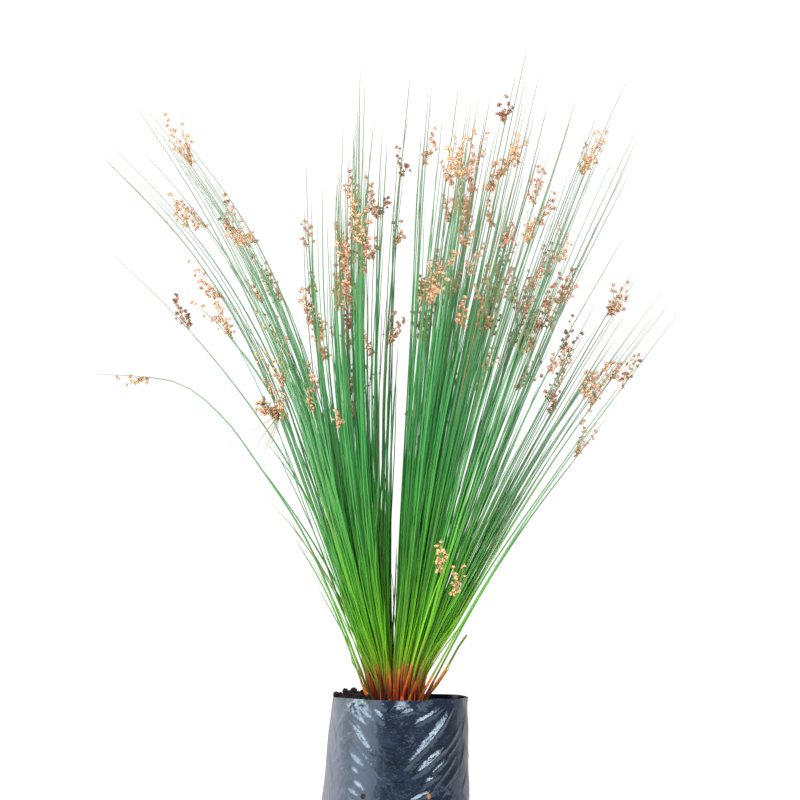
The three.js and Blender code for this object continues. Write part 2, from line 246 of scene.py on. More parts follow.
class Skins:
    """Gathers closed skins into one mesh. Each point has a tone, a place along its skin and a grain."""

    def __init__(self):
        self.parts = []
        self.faces = []
        self.kinds = []
        self.count = 0

    def add(self, points, faces, kind, tone, along, grain):
        self.parts.append((points, np.full(len(points), tone), along, grain))
        self.faces.extend([[corner + self.count for corner in face] for face in faces])
        self.kinds.extend([kind] * len(faces))
        self.count += len(points)

    def piece(self, name, materials, slot=None):
        points, tones, alongs, grains = (np.concatenate(parts) for parts in zip(*self.parts))
        mesh = skinned(name, points, self.faces)
        mesh.polygons.foreach_set("material_index", self.kinds)
        for fact, values in (("tone", tones), ("along", alongs)):
            layer = mesh.attributes.new(fact, "FLOAT", "POINT")
            layer.data.foreach_set("value", values.astype(np.float32))
        layer = mesh.attributes.new("grain", "FLOAT_VECTOR", "POINT")
        layer.data.foreach_set("vector", grains.astype(np.float32).ravel())
        return place(name, mesh, materials)


def skinned(name, points, faces):
    mesh = bpy.data.meshes.new(name)
    mesh.from_pydata(points, [], faces)
    mesh.shade_smooth()
    return mesh


def shown(name, data):
    made = bpy.data.objects.new(name, data)
    bpy.context.scene.collection.objects.link(made)
    return made


def place(name, mesh, materials):
    """Shows a mesh as a piece of the plant."""
    piece = shown(name, mesh)
    for material in materials:
        mesh.materials.append(material)
    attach(piece, BODY)
    return piece


def unit(vectors):
    return vectors / norm(vectors, axis=-1, keepdims=True)


def ring_faces(rings, sides):
    """The faces between rings of as many points, each ring joined to the next."""
    faces = []
    for start in range(0, (rings - 1) * sides, sides):
        for here in range(sides):
            beside = (here + 1) % sides
            faces.append([start + here, start + beside, start + beside + sides, start + here + sides])
    return faces


def add_tube(skins, line, radii, sides, kind, tone, slant=0.0):
    """A closed round skin along a line, pointed where its last radius is nothing.

    The slant draws its last ring out to one side.
    """
    line = np.asarray(line)
    along = unit(np.gradient(line, axis=0))
    steady = np.eye(3)[np.argmin(np.abs(along.mean(axis=0)))]
    side = unit(np.cross(along, steady))
    up = np.cross(side, along)
    angles = np.arange(sides) * TURN / sides
    around = np.cos(angles)[None, :, None] * side[:, None] + np.sin(angles)[None, :, None] * up[:, None]
    rings = line[:, None] + np.asarray(radii)[:, None, None] * around
    if slant:
        rings[-1] += (slant * (1 + np.cos(angles)))[:, None] * along[-1]
    pointed = radii[-1] <= 0
    whole = len(line) - 1 if pointed else len(line)
    points = rings[:whole].reshape(-1, 3)
    faces = [list(range(sides))[::-1], *ring_faces(whole, sides)]
    last = (whole - 1) * sides
    travelled = np.concatenate([[0], np.cumsum(norm(np.diff(line, axis=0), axis=1))])
    shares = np.repeat(travelled[:whole] / travelled[-1], sides)
    lengths = np.repeat(travelled[:whole], sides)
    turns = np.tile(angles, whole)
    if pointed:
        points = np.vstack([points, line[-1]])
        faces.extend([last + here, last + (here + 1) % sides, len(points) - 1] for here in range(sides))
        shares = np.append(shares, 1)
        lengths = np.append(lengths, travelled[-1])
        turns = np.append(turns, 0)
    else:
        faces.append(list(range(last, last + sides)))
    grain = np.stack([np.cos(turns), np.sin(turns), lengths + GRAIN_SHIFT * tone], axis=1)
    skins.add(points, faces, kind, tone, shares, grain)


# Materials

# A culm's tone: live up to the first value, and dead straw from the second
LIVE_TONE = 0.95
STRAW_TONE = 0.98
WHITE = (1, 1, 1, 1)


class Wiring:
    """Short hand for wiring the nodes of a world or a material."""

    def __init__(self, owner, shader):
        owner.use_nodes = True
        self.tree = owner.node_tree
        self.shader = self.tree.nodes[shader]

    def node(self, kind, inputs, output=0, **settings):
        made = self.tree.nodes.new(kind)
        for setting, value in settings.items():
            setattr(made, setting, value)
        for socket, value in inputs.items():
            if isinstance(value, bpy.types.NodeSocket):
                self.tree.links.new(value, made.inputs[socket])
            else:
                made.inputs[socket].default_value = value
        return made.outputs[output]

    def set(self, socket, value):
        self.tree.links.new(value, self.shader.inputs[socket])

    def spread(self, value, low, high, to_low=0.0, to_high=1.0):
        """Maps low..high to to_low..to_high, and holds it there beyond."""
        inputs = {"Value": value, "From Min": low, "From Max": high, "To Min": to_low, "To Max": to_high}
        return self.node("ShaderNodeMapRange", inputs)


class Look(Wiring):
    """A material, with short hand for its usual nodes."""

    def __init__(self, name, **shader):
        self.material = bpy.data.materials.new(name)
        super().__init__(self.material, "Principled BSDF")
        for socket, value in shader.items():
            self.shader.inputs[socket.replace("_", " ")].default_value = value

    def fact(self, name, output="Fac"):
        return self.node("ShaderNodeAttribute", {}, output, attribute_name=name)

    def place(self):
        return self.node("ShaderNodeTexCoord", {}, "Object")

    def axis(self, name):
        return self.node("ShaderNodeSeparateXYZ", {0: self.place()}, name)

    def math(self, operation, first, second=0.0):
        return self.node("ShaderNodeMath", {0: first, 1: second}, operation=operation)

    def stretched(self, vector, scale):
        return self.node("ShaderNodeMapping", {"Vector": vector, "Scale": scale})

    def noise(self, vector, scale, detail=3.0, roughness=0.5):
        inputs = {"Vector": vector, "Scale": scale, "Detail": detail, "Roughness": roughness}
        return self.node("ShaderNodeTexNoise", inputs, "Fac")

    def ramp(self, value, stops):
        """A colour for a value, from stops of a place and an sRGB colour."""
        made = self.tree.nodes.new("ShaderNodeValToRGB")
        self.tree.links.new(value, made.inputs[0])
        bar = made.color_ramp.elements
        while len(bar) < len(stops):
            bar.new(1.0)
        for element, (position, colour) in zip(bar, stops):
            element.position = position
            element.color = linear(colour)
        return made.outputs[0]

    def mix(self, share, first, second):
        first, second = (linear(side) if isinstance(side, tuple) else side for side in (first, second))
        return self.node("ShaderNodeMix", {0: share, 6: first, 7: second}, 2, data_type="RGBA")

    def bump(self, height, strength, distance):
        inputs = {"Height": height, "Strength": strength, "Distance": distance}
        self.set("Normal", self.node("ShaderNodeBump", inputs))


def linear(colour):
    """An sRGB colour of three numbers to 255 as a linear one."""
    shares = [part / 255 for part in colour]
    return [part / 12.92 if part <= 0.04045 else ((part + 0.055) / 1.055) ** 2.4 for part in shares] + [1]


def culm_look():
    """Red-brown at the foot, then bright green, and greyer with height and towards the outside. The paling
    outside is partly bleaching and partly painted sheen, and dull culms carry a painted shade of darker
    green, deepest low in the clump.
    """
    look = Look("culm_green", Specular_IOR_Level=0.22)
    grain = look.fact("grain", "Vector")
    tone = look.fact("tone")
    rise = look.spread(look.axis("Z"), SOIL_TOP, CAD_BOX[1].z)
    # The first stop, near black at the soil, is painted shade at the culms' feet
    green = look.ramp(rise, [
        (0, (28, 9, 6)),
        (0.02, (74, 36, 14)),
        (0.036, (124, 96, 24)),
        (0.06, (108, 146, 16)),
        (0.11, (86, 160, 10)),
        (0.24, (64, 148, 50)),
        (0.42, (60, 146, 74)),
        (0.62, (76, 140, 82)),
        (0.8, (106, 132, 100)),
        (1, (116, 122, 106)),
    ])
    # Paler towards the outside of the clump: partly bleaching, partly painted sheen on the outer culms
    flat = look.stretched(look.place(), (1, 0.4, 0))
    outward = look.node("ShaderNodeVectorMath", {0: flat}, "Value", operation="LENGTH")
    bleach_and_painted_sheen = look.spread(outward, 60 * MM, 260 * MM, 0, 0.85)
    green = look.mix(bleach_and_painted_sheen, green, (148, 158, 146))
    # Painted shade: dull culms turn darker green, most of all low in the clump
    painted_shade_green = look.mix(0.72, green, (10, 46, 18))
    painted_shade_by_height = look.spread(rise, 0.3, 0.8, 1, 0.4)
    painted_shade_share = look.math("MULTIPLY", look.spread(tone, 0, 0.5, 1, 0), painted_shade_by_height)
    painted_shaded_green = look.mix(painted_shade_share, green, painted_shade_green)
    yellowest = look.spread(rise, 0.15, 0.4, 0.5, 0)
    yellowing = look.math("MULTIPLY", look.spread(tone, 0.6, LIVE_TONE), yellowest)
    yellowed = look.mix(yellowing, painted_shaded_green, (140, 186, 30))
    dead = look.spread(tone, LIVE_TONE, STRAW_TONE)
    dried = look.mix(dead, yellowed, (146, 134, 96))
    streaks = look.noise(look.stretched(grain, (3, 3, 40)), 1)
    streaked = look.mix(look.spread(streaks, 0.35, 0.7, 0, 0.4), dried, (18, 66, 18))
    near_tip = look.spread(look.fact("along"), 0.95, 1, 0, 0.7)
    look.set("Base Color", look.mix(near_tip, streaked, (150, 122, 84)))
    look.set("Roughness", look.spread(streaks, 0.3, 0.7, 0.32, 0.5))
    ribs = look.noise(look.stretched(grain, (5, 5, 6)), 1, 1)
    look.bump(ribs, 0.5, 0.3 * MM)
    return look.material


def sheath_look():
    """Orange-brown where young and dark red-brown where old, the old ones darkened further with painted
    shade of the gaps at the clump's foot.
    """
    look = Look("sheath_red_brown", Specular_IOR_Level=0.15)
    tone = look.fact("tone")
    along = look.fact("along")
    grain = look.fact("grain", "Vector")
    young = look.ramp(along, [
        (0, (60, 12, 6)),
        (0.3, (182, 58, 18)),
        (0.7, (208, 102, 38)),
        (1, (150, 134, 36)),
    ])
    # The old ramp's near-black colours are partly painted shade of the gaps among the sheaths
    old_and_painted_shade = look.ramp(along, [(0, (12, 4, 3)), (0.5, (64, 20, 9)), (1, (124, 62, 24))])
    colour = look.mix(look.spread(tone, 0.1, 0.65), old_and_painted_shade, young)
    fibres = look.noise(look.stretched(grain, (4, 4, 60)), 1)
    look.set("Base Color", look.mix(look.spread(fibres, 0.4, 0.75, 0, 0.5), colour, (66, 20, 14)))
    look.set("Roughness", look.spread(fibres, 0.3, 0.7, 0.4, 0.65))
    look.bump(fibres, 0.6, 0.4 * MM)
    return look.material


def flower_look():
    """From dark brown through tan to yellow by tone, with pale scales."""
    look = Look("flower_tan", Specular_IOR_Level=0.3)
    tone = look.fact("tone")
    along = look.fact("along")
    scales = look.noise(look.place(), 900, 2)
    colour = look.ramp(tone, [
        (0, (74, 42, 34)),
        (0.22, (130, 82, 66)),
        (0.45, (196, 138, 114)),
        (0.8, (220, 172, 142)),
        (1, (210, 178, 98)),
    ])
    dark = look.mix(0.5, colour, (104, 58, 40))
    body = look.mix(look.spread(along, 0, 0.6), dark, colour)
    look.set("Base Color", look.mix(look.spread(scales, 0.4, 0.7, 0, 0.4), body, (236, 190, 150)))
    look.set("Roughness", look.spread(scales, 0.3, 0.7, 0.55, 0.8))
    look.bump(scales, 0.4, 0.2 * MM)
    return look.material


def ray_look():
    look = Look("ray_olive", Specular_IOR_Level=0.3)
    patches = look.noise(look.place(), 260, 2)
    tint = look.ramp(patches, [(0.3, (112, 118, 58)), (0.6, (176, 142, 92)), (0.8, (150, 96, 62))])
    look.set("Base Color", tint)
    look.set("Roughness", look.spread(patches, 0.3, 0.7, 0.5, 0.7))
    return look.material


# Culms, with the sheaths round their feet

SHEATH = {"radius": 1.8 * MM, "shortest": 14 * MM, "longest": 50 * MM, "slant": 2.2 * MM, "steps": 5}
SHEATH_SIDES = 8
SHEATHS = 2
SHEATH_TAPER = 0.8

# The width of a sheath's top in widths of its culm, and how each sheath differs from the one inside it
SHEATH_TOP = 1.2
NEXT_SHEATH = {"shorter": 0.7, "wider": 0.12, "wider_top": 0.15}

# Tones of sheaths and thin culms, and the share of culms that are dead straw
SHEATH_TONES = (0, 1)
DEAD_SHEATH_TONES = (0, 0.32)
STRAW_SHARE = 0.03
THIN_TONE = 0.75


def culm_tone(brightest):
    return STRAW_TONE if rng.random() < STRAW_SHARE else rng.uniform(0, brightest)


def add_sheaths(skins, line, layers, tones):
    """Wraps the foot of a culm's line in layers of sheaths."""
    for layer in range(layers):
        longest = rng.uniform(SHEATH["shortest"], SHEATH["longest"])
        reach = longest / (1 + NEXT_SHEATH["shorter"] * layer)
        heights = np.linspace(0, reach, SHEATH["steps"] + 1) + POCKET_FLOOR
        centres = np.stack([*at_height(line, heights), heights], axis=1)
        foot = SHEATH["radius"] * (1 + NEXT_SHEATH["wider"] * layer)
        top = CULM_RADIUS * (SHEATH_TOP + NEXT_SHEATH["wider_top"] * layer)
        radii = foot + (top - foot) * np.linspace(0, 1, len(heights)) ** SHEATH_TAPER
        add_tube(skins, centres, radii, SHEATH_SIDES, 1, rng.uniform(*tones), SHEATH["slant"])


def thin_culm(one, other, looseness):
    """A thin culm between or just beside two lines: its line, its points' shares of rise, and its length.

    Above the shorter line's tip it keeps to the longer one.
    """
    if one[-1, 2] < other[-1, 2]:
        one, other = other, one
    shortest, longest = THIN_LENGTHS
    length = shortest + (longest - shortest) * rng.random() ** THIN_SHORTNESS
    top = POCKET_FLOOR + length * (one[-1, 2] - POCKET_FLOOR)
    stray = THIN_STRAY * looseness
    share = rng.uniform(-stray, 1 + stray)
    if top > other[-1, 2]:
        share = 1.0
    count = max(LEAST_STEPS, round((top - POCKET_FLOOR) / THIN_STEP))
    rise = np.linspace(0, 1, count + 1) ** FOOT_CROWDING
    heights = POCKET_FLOOR + (top - POCKET_FLOOR) * rise
    between = share * at_height(one, heights) + (1 - share) * at_height(other, heights)
    phase = rng.uniform(0, TURN)
    bending = rng.uniform(*THIN_BENDING)
    drift = looseness * np.interp(length, (0, 1), THIN_DRIFT)
    between += rng.normal(0, drift, 2)[:, None] * rise
    between[0] += THIN_WAVER * np.sin(phase + bending * rise) * rise
    return np.stack([*between, heights], axis=1), rise, length


def head_on(line):
    """A flower head near the tip of a thin culm's line."""
    step = round(rng.uniform(*THIN_HEADS["place"]) * (len(line) - 1))
    along = unit(line[step] - line[step - 1]) * THIN_HEADS["length"]
    turn = rng.uniform(0, TURN)
    return {"foot": line[step], "along": along, "aside": np.array([math.cos(turn), math.sin(turn), 0])}


def build_culms(name, culms, materials):
    skins = Skins()
    for culm in culms:
        add_tube(skins, culm.line, culm.radii, CULM_SIDES, 0, culm_tone(LIVE_TONE))
        if not name.startswith("straw"):
            add_sheaths(skins, culm.line, SHEATHS, SHEATH_TONES)
    spray = name.rpartition("_")[0]
    count, flowering, looseness = THIN_CULMS.get(spray, NO_THIN_CULMS)
    for index in range(count):
        one = culms[index % len(culms)]
        other = culms[(index + 1 + rng.integers(len(culms) - 1)) % len(culms)]
        line, rise, length = thin_culm(one.line, other.line, looseness)
        radii = THIN_RADIUS * (1 - rise) ** TAPER
        add_tube(skins, line, radii, THIN_SIDES, 0, culm_tone(THIN_TONE))
        if rng.random() < THIN_SHEATHS:
            add_sheaths(skins, line, 1, DEAD_SHEATH_TONES)
        grown = length > THIN_HEADS["least"] and line[-1, 2] > THIN_HEADS["least_top"]
        if grown and rng.random() < flowering:
            one.heads.append(head_on(line))
    piece = skins.piece(f"{name}_culms", materials, "culm")
    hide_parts(name)


# Flower heads: loose clusters of small brown flowers on thin rays

RAYS = (5, 9)
RAY = {"radius": 0.34 * MM, "thinning": 0.45, "bend": 0.35, "stray": 0.3, "sides": 4, "steps": 4}
SHOOTS = {"spacing": 7.5 * MM, "first": 0.3, "last": 0.95, "stray": 0.8, "sides": 3}
SHOOT_LENGTHS = (1.5 * MM, 4.5 * MM)
SHOOT_RADII = (0.22 * MM, 0.2 * MM, 0.18 * MM)
END_FLOWERS = {"counts": (2, 5), "stray": 0.55, "sizes": (0.8, 1.15)}
SHOOT_FLOWERS = {"counts": (1, 4), "stray": 0.6, "sizes": (0.75, 1.1)}
HEAD_STRETCH = (0.75, 1.3)
DROOP = 0.05
HANGING_DROOP = 0.35
HANGING_ASIDE = 1 * MM

# How a head's rays fan out. They lean by some degrees, the short ones most
FAN = {"place": (0.1, 0.9), "shortest": 0.18, "growth": 0.95, "crowding": 1.2, "turn": 0.8}
FAN_LEANS = (5, 20)
FAN_SHORT_LEAN = 28

# The rise and width of a fruit's rings in shares of the flower's, and a tepal's corners: outward and
# across in half widths, and their rise
FLOWER = {"length": 3.7 * MM, "width": 2.5 * MM, "sides": 5, "tepals": 4}
FLOWER_PROFILE = [(0.3, 0.9), (0.72, 0.8)]
TEPAL = [(0.9, 0.55, 0.35), (0.9, -0.55, 0.35), (0.2, 0, 0.1), (2.1, 0, 0.95)]

# Most heads are tan, some dark brown, and the low ones at the front yellow
DARK_SHARE = 0.12
DARK_TONES = (0.1, 0.28)
TAN_TONES = (0.42, 0.85)
LOW_FRONT_TONE = 0.93
TONE_SPREAD = 0.14
PALEST_TONE = 0.95

# One large dense head on the left, with thin dead bracts under it
LARGE = {"x": -140 * MM, "z": 506 * MM, "length": 25 * MM, "rays": 34, "tone": 0.66}
LARGE_ASIDE = np.array([-1, -0.3, 0.2])
HAIRS = {
    "count": 9, "lengths": (20 * MM, 52 * MM), "radius": 0.42 * MM, "thinning": 0.7, "tone": 0.5,
    "direction": (-0.45, -0.1, -0.8), "stray": 0.35, "droop": 0.2,
}


def flower_shape():
    """One flower along +Z, a unit long: an egg-shaped fruit inside pointed tepals."""
    sides = FLOWER["sides"]
    half = FLOWER["width"] / FLOWER["length"] / 2
    angles = np.arange(sides) * TURN / sides
    rings = [
        np.stack([half * wide * np.cos(angles), half * wide * np.sin(angles), np.full(sides, rise)], axis=1)
        for rise, wide in FLOWER_PROFILE
    ]
    points = [np.zeros((1, 3)), *rings, np.array([[0, 0, 1.0]])]
    faces = []
    for here in range(sides):
        beside = (here + 1) % sides
        faces.append([0, 1 + beside, 1 + here])
        for low in range(1, 1 + (len(rings) - 1) * sides, sides):
            faces.append([low + here, low + beside, low + beside + sides, low + here + sides])
        top = 1 + (len(rings) - 1) * sides
        faces.append([top + here, top + beside, top + sides])
    count = 2 + len(rings) * sides
    for tepal in range(FLOWER["tepals"]):
        angle = tepal * TURN / FLOWER["tepals"]
        out = np.array([math.cos(angle), math.sin(angle), 0])
        across = np.array([-math.sin(angle), math.cos(angle), 0])
        blade = [half * (far * out + wide * across) + [0, 0, rise] for far, wide, rise in TEPAL]
        left, right, heel, tip = range(count, count + 4)
        points.append(np.array(blade))
        faces.extend([[tip, left, right], [tip, right, heel], [tip, heel, left], [left, heel, right]])
        count += len(blade)
    return np.concatenate(points), faces


FLOWER_POINTS, FLOWER_FACES = flower_shape()


def turned(direction, spin):
    """The turn that takes +Z to a direction, with a spin about it, as a matrix."""
    direction = unit(direction)
    steady = np.eye(3)[np.argmin(np.abs(direction))]
    side = unit(np.cross(steady, direction))
    up = np.cross(direction, side)
    across = math.cos(spin) * side + math.sin(spin) * up
    return np.stack([across, np.cross(direction, across), direction], axis=1)


def random_about(direction, spread):
    """A direction that strays from another by a spread of about that many radians."""
    return unit(unit(direction) + rng.normal(0, spread, 3))


def flower_tone(tone):
    return np.clip(tone + rng.normal(0, TONE_SPREAD), 0, PALEST_TONE)


def add_flowers(skins, foot, direction, tone, habit):
    """A few flowers that spread from one point."""
    for _ in range(rng.integers(*habit["counts"])):
        lean = random_about(direction, habit["stray"])
        own_tone = flower_tone(tone)
        scale = FLOWER["length"] * rng.uniform(*habit["sizes"])
        turn = turned(lean, rng.uniform(0, TURN))
        points = FLOWER_POINTS @ turn.T * scale + foot
        skins.add(points, FLOWER_FACES, 0, own_tone, FLOWER_POINTS[:, 2], FLOWER_POINTS)


def add_ray(skins, foot, direction, length, droop, tone):
    """A ray that bends and hangs a little, with shoots and flowers along its outer part."""
    shares = np.linspace(0, 1, RAY["steps"] + 1)
    squares = shares[:, None] ** 2
    bend = random_about(direction, RAY["stray"])
    line = foot + length * (shares[:, None] * direction + RAY["bend"] * squares * (bend - direction))
    line += length * droop * squares * DOWN
    add_tube(skins, line, RAY["radius"] * (1 - RAY["thinning"] * shares), RAY["sides"], 1, tone)
    end = unit(line[-1] - line[-2])
    add_flowers(skins, line[-1], end, tone, END_FLOWERS)
    between = SHOOTS["spacing"] / max(length, SHOOTS["spacing"])
    for share in np.arange(SHOOTS["first"], SHOOTS["last"], between):
        at = np.array([np.interp(share, shares, line[:, axis]) for axis in range(3)])
        out = random_about(end, SHOOTS["stray"])
        tip = at + out * rng.uniform(*SHOOT_LENGTHS)
        add_tube(skins, [at, (at + tip) / 2, tip], SHOOT_RADII, SHOOTS["sides"], 1, tone)
        add_flowers(skins, tip, out, tone, SHOOT_FLOWERS)


def add_head(skins, foot, along, aside, length, tone, rays, droop=0.0):
    """A head of rays that fan from the culm, mostly to one side of it."""
    along = unit(along)
    aside = unit(aside - along * (aside @ along))
    across = np.cross(along, aside)
    for ray in range(rays):
        share = (ray + rng.uniform(*FAN["place"])) / rays
        reach = length * (FAN["shortest"] + FAN["growth"] * share ** FAN["crowding"])
        lean = math.radians(rng.uniform(*FAN_LEANS) + FAN_SHORT_LEAN * (1 - share))
        turn = rng.normal(0, FAN["turn"])
        out = math.cos(turn) * aside + math.sin(turn) * across
        direction = unit(math.cos(lean) * along + math.sin(lean) * out)
        add_ray(skins, foot, direction, reach, droop, tone)


def head_tone():
    return rng.uniform(*(DARK_TONES if rng.random() < DARK_SHARE else TAN_TONES))


def add_hairs(skins, foot):
    """Thin dead bracts that hang out below a large head."""
    shares = np.linspace(0, 1, RAY["steps"] + 1)[:, None]
    radii = HAIRS["radius"] * (1 - HAIRS["thinning"] * shares[:, 0])
    for _ in range(HAIRS["count"]):
        length = rng.uniform(*HAIRS["lengths"])
        direction = random_about(HAIRS["direction"], HAIRS["stray"])
        line = foot + length * (shares * direction + HAIRS["droop"] * shares**2 * DOWN)
        add_tube(skins, line, radii, RAY["sides"], 1, HAIRS["tone"])


def build_heads(name, culms, materials):
    """The heads on a node's culms. One whose bulge isn't to one side hangs down."""
    skins = Skins()
    heads = [head for culm in culms for head in culm.heads]
    for head in heads:
        foot = head["foot"]
        aside = head["aside"]
        hanging = norm(aside) < HANGING_ASIDE
        if hanging:
            aside = DOWN
        if "large" in head:
            add_head(skins, foot, head["along"], aside, LARGE["length"], LARGE["tone"], LARGE["rays"])
            add_hairs(skins, foot)
            continue
        tone = LOW_FRONT_TONE if name.startswith("culm_short") else head_tone()
        length = norm(head["along"]) * rng.uniform(*HEAD_STRETCH)
        droop = HANGING_DROOP if hanging else DROOP
        add_head(skins, foot, head["along"], aside, length, tone, rng.integers(*RAYS), droop)
    if heads:
        skins.piece(f"{name}_heads", materials)


def give_large_head(culms):
    """Sets one large head on the culm that passes nearest to its place."""
    place_at = np.array([LARGE["x"], LARGE["z"]])
    gaps = [norm(culm.line[:, [0, 2]] - place_at, axis=1) for culm in culms]
    nearest = np.argmin([gap.min() for gap in gaps])
    step = np.argmin(gaps[nearest])
    line = culms[nearest].line
    along = unit(line[step + 1] - line[step]) + LARGE_ASIDE
    head = {"foot": line[step], "along": along, "aside": LARGE_ASIDE, "large": True}
    culms[nearest].heads.append(head)


def build_tussock():
    culm_materials = [culm_look(), sheath_look()]
    head_materials = [flower_look(), ray_look()]
    tussock = {}
    for name in sorted(NODES):
        if name.startswith(("tuft", "culm", "straw")):
            rings, middle = culms_of(name)
            tussock[name] = [Culm(culm_rings, middle) for culm_rings in rings]
    give_large_head([culm for name in tussock if name.startswith("tuft_left") for culm in tussock[name]])
    for name, culms in tussock.items():
        build_culms(name, culms, culm_materials)
        build_heads(name, culms, head_materials)


# The grow bag: a film shell with folds that run down to its creases. Angles are in degrees from the front

FILM = 0.45 * MM
BAG_AROUND = 336
BAG_RISE = 1.5 * MM
INNER_STRIDE = 4
SHARP_EDGE = math.radians(60)
FOOT_ROUNDING = 10 * MM

# A level with this many corners is a whole ring, and corners clear of all rings are a hole's
RING_CORNERS = 24
HOLE_CLEARANCE = 1.2 * MM
HOLE_RADIUS = 3 * MM
HOLE_ANGLE = 8
PUNCH = {"depth": 14 * MM, "segments": 18}
SQUASH = (0.86, 1.08)

# The angle and the depth of each crease
CREASES = [(-3.0, 1.2 * MM), (178.0, 1.6 * MM)]
CREASE_WIDTH = 12 * MM
CREASE_FOOT = 20 * MM

# Smooth swells of the whole film, of its free part at the rim, and of the rim's height
FILM_SWELL = {"height": 0.6 * MM, "waves": 9, "seed": 4}
RIM_WAVE = {"height": 1.1 * MM, "waves": 6, "seed": 9}
RIM_RIPPLE = {"height": 0.5 * MM, "waves": 7, "seed": 12}
SWELL_TURNS = (2, 11)
SWELL_CLIMB = 120
RIM_FREE = 16 * MM

# The rim stands highest at the front, and leans in at its left front
RIM_LIFT = 1.8 * MM
RIM_LEAN = {"angle": -44, "half_angle": 20, "edge": 4, "depth": 3.2 * MM, "reach": 24 * MM, "curl": 1.5}

# A fold's fullness towards its ends, its widths there and below its ridge, the sharpness of the ridge,
# and the share of what lies under it that shows through
FOLD = {"ends": 0.7, "end_width": 0.5, "lower_width": 0.5, "sharpness": 1.5, "under": 0.35}

# Folds at the front: the angle in degrees and the height in millimetres of each end, then the fold's
# height and width in millimetres
FRONT_FOLDS = [
    (-46, 199, -41, 178, 1.8, 4.3),
    (-17, 199, -11, 190, 1.6, 3.6),
    (-23, 193, -12, 176, 1.9, 3.6),
    (-43, 176, -19, 139, 2.8, 4.3),
    (-47, 190, -22, 168, 1.2, 3.6),
    (-42, 144, -26, 125, 2.0, 3.2),
    (-40, 130, -31, 119, 1.8, 3.2),
    (-38, 115, -22, 101, 1.6, 3.2),
    (-42, 106, -29, 96, 1.8, 3.2),
    (-60, 165, -44, 120, 0.8, 4.3),
    (52, 194, 6, 128, 3.2, 4.7),
    (44, 153, 12, 119, 3.0, 4.3),
    (46, 140, 26, 120, 1.8, 3.2),
    (38, 123, 20, 111, 1.6, 3.2),
    (13, 190, 0, 186, 1.4, 3.0),
    (44, 196, 8, 171, 1.4, 4.0),
    (62, 174, 36, 140, 1.2, 3.6),
    (60, 132, 38, 104, 1.2, 3.6),
    (32, 106, 6, 91, 1.5, 3.6),
    (76, 192, 64, 158, 1.1, 3.0),
    (72, 158, 58, 122, 1.4, 3.2),
    (78, 130, 62, 98, 1.2, 3.0),
    (-74, 186, -60, 150, 1.1, 3.0),
    (-78, 150, -62, 112, 1.2, 3.2),
]

# Small folds: the angle they lie round, their count, their heights and the levels of their lower ends
RANDOM_FOLDS = [
    (0, 40, (0.35 * MM, 0.9 * MM), (6 * MM, 180 * MM)),
    (0, 14, (0.6 * MM, 1.6 * MM), (6 * MM, 78 * MM)),
    (180, 44, (0.6 * MM, 2.0 * MM), (6 * MM, 178 * MM)),
    (96, 12, (0.4 * MM, 1.2 * MM), (10 * MM, 170 * MM)),
    (-96, 12, (0.4 * MM, 1.2 * MM), (10 * MM, 170 * MM)),
]
SMALL_FOLD = {"start": (5, 40), "span": (12, 36), "climb": (0.7 * MM, 1.5 * MM)}
SMALL_WIDTHS = (1.8 * MM, 3.4 * MM)

BAG_POINTS = np.array([vertex.co for vertex in NODES["grow_bag"].data.vertices])


def bag_section():
    """The bag's heights and, at each, the radius and the sideways shift of its outside."""
    levels = np.round(BAG_POINTS[:, 2], decimals=5)
    rows = []
    for level in np.unique(levels):
        ring = np.unique(np.round(BAG_POINTS[levels == level], decimals=6), axis=0)
        if len(ring) >= RING_CORNERS:
            left = ring[:, 0].min()
            right = ring[:, 0].max()
            rows.append((level, (right - left) / 2, (right + left) / 2))
    return np.array(rows).T


SECTION = bag_section()
DEGREE_ALONG = math.radians(1) * SECTION[1].mean()


def section_at(z):
    heights, radii, shifts = SECTION
    return np.interp(z, heights, radii), np.interp(z, heights, shifts)


def apart(angle, other):
    """The angle between two directions, from -180 to 180 degrees."""
    return (angle - other + 180) % 360 - 180


def fold(angle, z, ends, height, width):
    """The stand-out of one fold: a ridge along a line, steeper on its lower side, dying at its ends."""
    from_angle, from_z, to_angle, to_z = ends
    x = apart(angle, from_angle) * DEGREE_ALONG
    rise = z - from_z
    run = np.array([apart(to_angle, from_angle) * DEGREE_ALONG, to_z - from_z])
    length = norm(run)
    run /= length
    share = (x * run[0] + rise * run[1]) / length
    above = (x * -run[1] + rise * run[0]) * np.sign(run[0])
    fade = np.sin(np.pi * np.clip(share, 0, 1)) ** FOLD["ends"]
    upper = width * (FOLD["end_width"] + (1 - FOLD["end_width"]) * fade)
    flank = np.where(above > 0, upper, FOLD["lower_width"] * upper)
    ridge = np.exp(-((np.abs(above) / flank) ** FOLD["sharpness"]))
    return height * fade * ridge


def random_folds(centre, count, heights, levels):
    """Folds to both sides of a line down the bag, higher at their outer ends."""
    folds = []
    for index in range(count):
        side = 1 if index % 2 else -1
        near = rng.uniform(*SMALL_FOLD["start"])
        far = near + rng.uniform(*SMALL_FOLD["span"])
        low = rng.uniform(*levels)
        rise = (far - near) * rng.uniform(*SMALL_FOLD["climb"])
        ends = (centre + side * far, low + rise, centre + side * near, low)
        folds.append((ends, rng.uniform(*heights), rng.uniform(*SMALL_WIDTHS)))
    return folds


def all_folds():
    folds = []
    for from_angle, from_z, to_angle, to_z, height, width in FRONT_FOLDS:
        ends = (from_angle, from_z * MM, to_angle, to_z * MM)
        folds.append((ends, height * MM, width * MM))
    for habit in RANDOM_FOLDS:
        folds += random_folds(*habit)
    return folds


FOLDS = all_folds()


